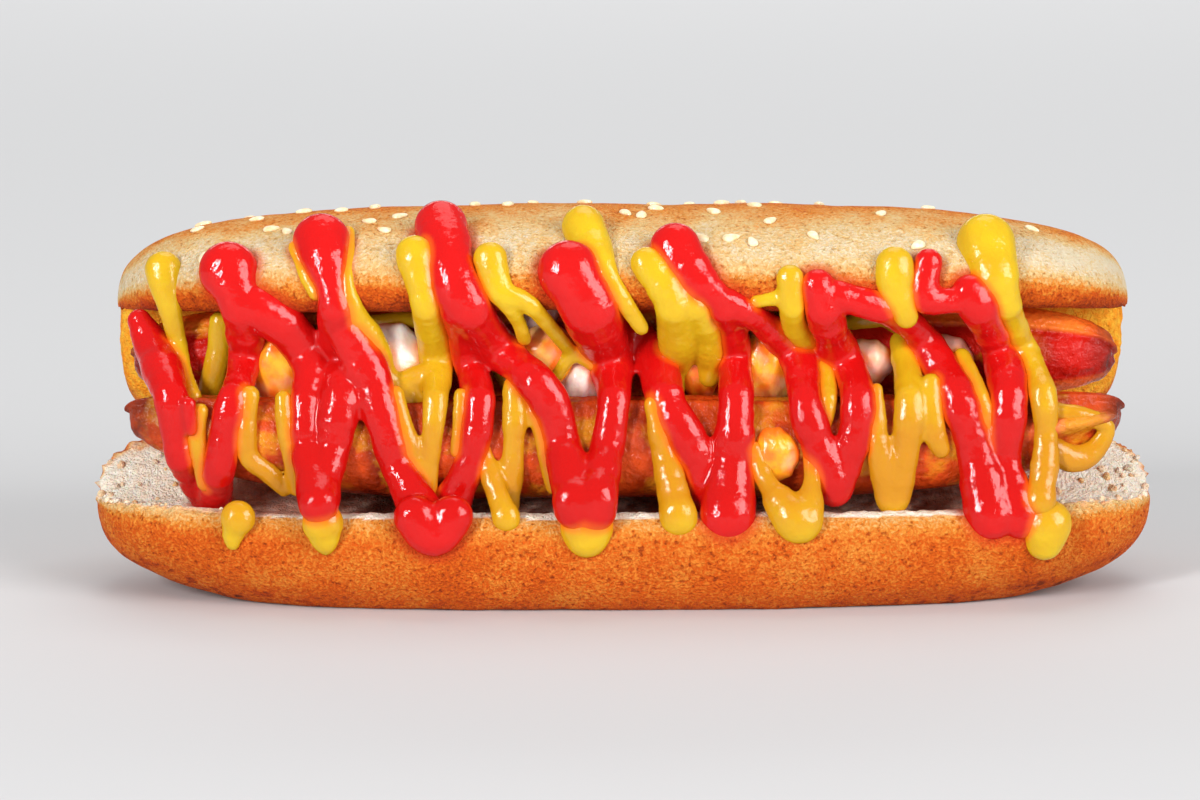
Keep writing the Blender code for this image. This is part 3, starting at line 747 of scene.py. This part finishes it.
def mixed(tree, share, first, second):
    """One colour laid over another by a share; each is three numbers or another node's colour."""
    first, second = ((*colour, 1) if isinstance(colour, tuple) else colour for colour in (first, second))
    made = put(tree, "ShaderNodeMix", {0: share, 6: first, 7: second}, data_type="RGBA")
    return made.outputs[2]


def sums(tree, operation, first, second):
    return put(tree, "ShaderNodeMath", {0: first, 1: second}, operation=operation).outputs[0]


def reading(tree, name):
    """The value that a piece keeps at each point."""
    return put(tree, "ShaderNodeAttribute", attribute_name=name).outputs["Fac"]


def position(tree):
    """The place on the piece in millimetres."""
    place = put(tree, "ShaderNodeTexCoord").outputs["Object"]
    scale = (1 / METRES,) * 3
    return put(tree, "ShaderNodeMapping", {"Vector": place, "Scale": scale}).outputs["Vector"]


def make_mottle():
    """A shader group: soft patches of a given size as a mask."""
    group = bpy.data.node_groups.new("mottle", "ShaderNodeTree")
    for key, value in (("Size", 1.0), ("Low", 0.4), ("High", 0.6)):
        socket = group.interface.new_socket(key, in_out="INPUT", socket_type="NodeSocketFloat")
        socket.default_value = value
    group.interface.new_socket("Mask", in_out="OUTPUT", socket_type="NodeSocketFloat")
    given = group.nodes.new("NodeGroupInput").outputs
    scale = sums(group, "DIVIDE", 1.0, given["Size"])
    patches = put(group, "ShaderNodeTexNoise", {"Vector": position(group), "Scale": scale, "Detail": 4.0})
    mask = put(group, "ShaderNodeMapRange", {
        "Value": patches.outputs["Fac"], "From Min": given["Low"], "From Max": given["High"],
    })
    out = group.nodes.new("NodeGroupOutput")
    group.links.new(mask.outputs["Result"], out.inputs["Mask"])
    return group


def mottle(tree, size, low, high):
    made = put(tree, "ShaderNodeGroup", node_tree=MOTTLE)
    for key, value in (("Size", size), ("Low", low), ("High", high)):
        made.inputs[key].default_value = value
    return made.outputs["Mask"]


def colour_steps(tree, value, steps):
    """A colour for each value, from (value, colour) steps."""
    made = put(tree, "ShaderNodeValToRGB", {"Fac": value})
    elements = made.color_ramp.elements
    for index, (place, colour) in enumerate(steps):
        element = elements[index] if index < 2 else elements.new(place)
        element.position = place
        element.color = (*colour, 1.0)
    return made.outputs["Color"]


def material(name, roughness, **sockets):
    """A material and its shader, with what is the same all over set on the shader."""
    made = bpy.data.materials.new(name)
    made.use_nodes = True
    shader = made.node_tree.nodes["Principled BSDF"]
    shader.inputs["Roughness"].default_value = roughness
    for key, value in sockets.items():
        shader.inputs[key.replace("_", " ")].default_value = value
    return made, made.node_tree, shader


def bump(tree, shader, height, distance):
    """Fine relief, its depth in millimetres."""
    made = put(tree, "ShaderNodeBump", {"Height": height, "Distance": distance * METRES})
    tree.links.new(made.outputs["Normal"], shader.inputs["Normal"])


def bread():
    """Crust from cream to toasted brown, and granular crumb."""
    made, tree, shader = material(
        "bread", 0.7, Specular_IOR_Level=0.12, Subsurface_Weight=0.1, Subsurface_Scale=0.003,
    )
    grain = mottle(tree, 0.9, 0.3, 0.7)
    pores = mottle(tree, 0.5, 0.36, 0.6)
    pits = mottle(tree, 0.9, 0.61, 0.7)
    lumps = mottle(tree, 1.6, 0.35, 0.65)
    # The bake reading also holds painted shade: dark brown for the crumb deep in the slit behind the lip.
    baked = sums(tree, "ADD", reading(tree, "bake"), sums(tree, "MULTIPLY", grain, 0.14))
    baked = sums(tree, "SUBTRACT", baked, sums(tree, "MULTIPLY", pores, 0.12))
    crust = colour_steps(tree, baked, (
        (0.0, (0.75, 0.63, 0.44)), (1.0, (0.13, 0.025, 0.005)), (0.2, (0.75, 0.49, 0.20)),
        (0.42, (0.73, 0.25, 0.031)), (0.6, (0.63, 0.100, 0.005)), (0.8, (0.42, 0.050, 0.005)),
    ))
    crust = mixed(tree, sums(tree, "MULTIPLY", pits, baked), crust, (0.26, 0.035, 0.005))
    pale = mixed(tree, lumps, (1.0, 0.95, 0.82), (1.0, 0.84, 0.66))
    golden = mixed(tree, lumps, (1.0, 0.50, 0.04), (0.95, 0.29, 0.012))
    crumb_share = reading(tree, "crumb")
    crumb = mixed(tree, reading(tree, "toast"), pale, golden)
    colour = mixed(tree, crumb_share, crust, crumb)
    stain = sums(tree, "MULTIPLY", reading(tree, "stain"), 0.8)
    colour = mixed(tree, stain, colour, (0.60, 0.045, 0.008))
    tree.links.new(colour, shader.inputs["Base Color"])
    relief = sums(tree, "SUBTRACT", pores, pits)
    crumb_relief = sums(tree, "MULTIPLY", lumps, crumb_share)
    bump(tree, shader, sums(tree, "ADD", relief, crumb_relief), 0.25)
    return made


def sausage_skin(name, skin, deep, face):
    """Grilled skin, browned in patches, with a darker glazed cut face."""
    made, tree, shader = material(
        name, 0.2, Specular_IOR_Level=0.2, Subsurface_Weight=0.1, Subsurface_Scale=0.002,
    )
    patches = mottle(tree, 11.0, 0.42, 0.66)
    fine = mottle(tree, 1.4, 0.35, 0.7)
    colour = mixed(tree, patches, skin, deep)
    colour = mixed(tree, sums(tree, "MULTIPLY", fine, 0.25), colour, deep)
    colour = mixed(tree, reading(tree, "cut_face"), colour, face)
    film = sums(tree, "MULTIPLY", reading(tree, "film"), mottle(tree, 7.0, 0.5, 0.62))
    colour = mixed(tree, sums(tree, "MULTIPLY", film, 0.8), colour, (0.66, 0.28, 0.010))
    colour = mixed(tree, reading(tree, "char"), colour, (0.09, 0.012, 0.006))
    tree.links.new(colour, shader.inputs["Base Color"])
    bump(tree, shader, fine, 0.25)
    return made


def onion_flesh():
    """Moist white onion, glazed orange and yellow where sauce ran over it."""
    made, tree, shader = material("onion_flesh", 0.2, Subsurface_Weight=0.25, Subsurface_Scale=0.003)
    veins = mottle(tree, 2.5, 0.3, 0.7)
    clean = mixed(tree, veins, (0.92, 0.83, 0.77), (0.86, 0.68, 0.62))
    glazed = mixed(tree, mottle(tree, 4.0, 0.4, 0.62), (1.0, 0.19, 0.014), (1.0, 0.42, 0.016))
    colour = mixed(tree, reading(tree, "glaze"), clean, glazed)
    tree.links.new(colour, shader.inputs["Base Color"])
    bump(tree, shader, veins, 0.15)
    return made


def sauce_gloss(name, bright, deep, roughness, shine):
    """Thick glossy sauce: bright above and at its drops, deeper where it hangs in shade between."""
    made, tree, shader = material(
        name, roughness, Specular_IOR_Level=shine, Subsurface_Weight=0.1, Subsurface_Scale=0.002,
    )
    height = put(tree, "ShaderNodeSeparateXYZ", {"Vector": position(tree)}).outputs["Z"]
    low = put(tree, "ShaderNodeMapRange", {"Value": height, "From Min": 58.0, "From Max": 24.0})
    drops = put(tree, "ShaderNodeMapRange", {"Value": height, "From Min": 25.0, "From Max": 15.0})
    patches = sums(tree, "MULTIPLY", mottle(tree, 7.0, 0.35, 0.65), 0.35)
    shade = sums(tree, "ADD", low.outputs["Result"], patches)
    shade = sums(tree, "SUBTRACT", shade, drops.outputs["Result"])
    share = put(tree, "ShaderNodeClamp", {"Value": shade}).outputs["Result"]
    colour = mixed(tree, share, bright, deep)
    blend = sums(tree, "MULTIPLY", reading(tree, "blend"), 0.7)
    colour = mixed(tree, blend, colour, (0.80, 0.13, 0.006))
    tree.links.new(colour, shader.inputs["Base Color"])
    bump(tree, shader, mottle(tree, 2.5, 0.3, 0.7), 0.12)
    return made


def seed_shell():
    """Pale, slightly shiny sesame shell."""
    made, tree, shader = material(
        "seed_shell", 0.4, Coat_Weight=0.2, Subsurface_Weight=0.2, Subsurface_Scale=0.001,
    )
    colour = mixed(tree, mottle(tree, 1.2, 0.35, 0.65), (0.95, 0.83, 0.58), (0.86, 0.64, 0.33))
    tree.links.new(colour, shader.inputs["Base Color"])
    bump(tree, shader, mottle(tree, 0.5, 0.3, 0.7), 0.1)
    return made


MOTTLE = make_mottle()


def nodes_named(start):
    """The solids whose names are this kind, or this kind and a number."""
    names = [row["node"] for row in frame["record"]["subparts"]]
    return [name for name in names if name == start or name.rstrip("0123456789") == start + "_"]


def finish(piece, nodes, look):
    """Turns the piece into metres, gives it its material and lets it stand for its solids."""
    piece.data.transform(Matrix.Scale(METRES, 4))
    piece.data.materials.clear()
    piece.data.materials.append(look)
    piece.data.shade_smooth()
    if nodes:
        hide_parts(*nodes)
    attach(piece, "root")


def build():
    """The bun, its fillings and the sauces, made, finished and handed over."""
    noise.seed_set(NOISE_SEED)
    sausages = make_sausages()
    bun_forms = make_bun_forms()
    petals = [petal(f"onion_petal_{number}", *row[:3]) for number, row in enumerate(PETALS, start=1)]
    food = sausages + bun_forms + petals
    mustard = sauce("mustard_sauce", MUSTARD, food, MUSTARD_FRONT)
    ketchup = sauce("ketchup_sauce", KETCHUP, food + [mustard], KETCHUP_FRONT)
    drips = sauce("mustard_drips", MUSTARD_ON_TOP, food + [mustard, ketchup], KETCHUP_FRONT)
    bun = make_bun(bun_forms, sausages)
    seeds = make_seeds(bun, [mustard, ketchup, drips])

    record(bun, "stain", nearness(points_of(bun)[0], [ketchup], 2.6))
    finish_sausage(sausages[0], LOWER_SAUSAGE_GROOVE, slit_at=LOWER_SAUSAGE_SLIT)
    finish_sausage(sausages[1], UPPER_SAUSAGE_GROOVE, cut_face=UPPER_SAUSAGE_FACE)
    crumbs = make_crumbs(bun)
    for piece, others in ((ketchup, [mustard, drips]), (mustard, [ketchup]), (drips, [ketchup])):
        record(piece, "blend", nearness(points_of(piece)[0], others, 1.4))
    for sausage in sausages:
        record(sausage, "film", nearness(points_of(sausage)[0], [mustard, ketchup], 9.0))
    for piece, (*shape, glaze) in zip(petals, PETALS):
        places = points_of(piece)[0]
        under_sauce = nearness(places, [mustard, ketchup], 1.5)
        record(piece, "glaze", np.clip(glaze + 0.25 * wander_at(places, 4.0) + 0.6 * under_sauce, 0, 1))

    skin = sausage_skin("grilled_skin", (0.66, 0.070, 0.008), (0.26, 0.020, 0.003), (0.80, 0.20, 0.05))
    face = sausage_skin("glazed_face", (1.0, 0.23, 0.030), (0.92, 0.12, 0.012), (0.54, 0.010, 0.005))
    yellow = sauce_gloss("mustard_gloss", (0.64, 0.42, 0.010), (0.54, 0.225, 0.006), 0.16, 0.38)
    red = sauce_gloss("ketchup_gloss", (0.60, 0.006, 0.006), (0.50, 0.004, 0.003), 0.06, 0.36)
    flesh = onion_flesh()
    loaf = bread()
    finish(bun, nodes_named("bun"), loaf)
    finish(crumbs, [], loaf)
    finish(seeds, [], seed_shell())
    finish(sausages[0], ["sausage_lower"], skin)
    finish(sausages[1], ["sausage_upper"], face)
    for number, piece in enumerate(petals, start=1):
        finish(piece, [f"onion_{number}"], flesh)
    finish(mustard, nodes_named("mustard"), yellow)
    finish(drips, nodes_named("mustard_drip"), yellow)
    finish(ketchup, nodes_named("ketchup"), red)
    for form in bun_forms:
        bpy.data.objects.remove(form)


def make_floor():
    mesh = bmesh.new()
    bmesh.ops.create_grid(mesh, x_segments=1, y_segments=1, size=FLOOR_SIZE)
    floor = add_object("floor", mesh)
    made, tree, shader = material("floor_grey", 0.9)
    shader.inputs["Base Color"].default_value = FLOOR_COLOUR
    floor.data.materials.append(made)


def add_lamp(name, place, target, size, power):
    data = bpy.data.lights.new(name, "AREA")
    data.shape = "RECTANGLE"
    data.size, data.size_y = size
    data.energy = power
    lamp = bpy.data.objects.new(name, data)
    lamp.location = place
    lamp.rotation_euler = (Vector(target) - Vector(place)).to_track_quat("-Z", "Y").to_euler()
    bpy.context.scene.collection.objects.link(lamp)


def make_studio():
    """A pale floor, soft lamps, an even sky and the camera."""
    make_floor()
    scene = bpy.context.scene
    world = bpy.data.worlds.new("studio")
    scene.world = world
    world.use_nodes = True
    background = world.node_tree.nodes["Background"]
    background.inputs["Color"].default_value = SKY_COLOUR
    background.inputs["Strength"].default_value = SKY_STRENGTH
    for lamp in LAMPS:
        add_lamp(*lamp)
    data = bpy.data.cameras.new("camera")
    data.lens = CAMERA_LENS
    data.clip_start = 0.01
    camera = bpy.data.objects.new("camera", data)
    camera.location = CAMERA_PLACE
    camera.rotation_euler = (math.radians(90 - CAMERA_DOWN), 0, math.radians(-CAMERA_RIGHT))
    scene.collection.objects.link(camera)
    scene.camera = camera
    scene.view_settings.view_transform = "Standard"


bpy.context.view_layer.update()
build()
make_studio()
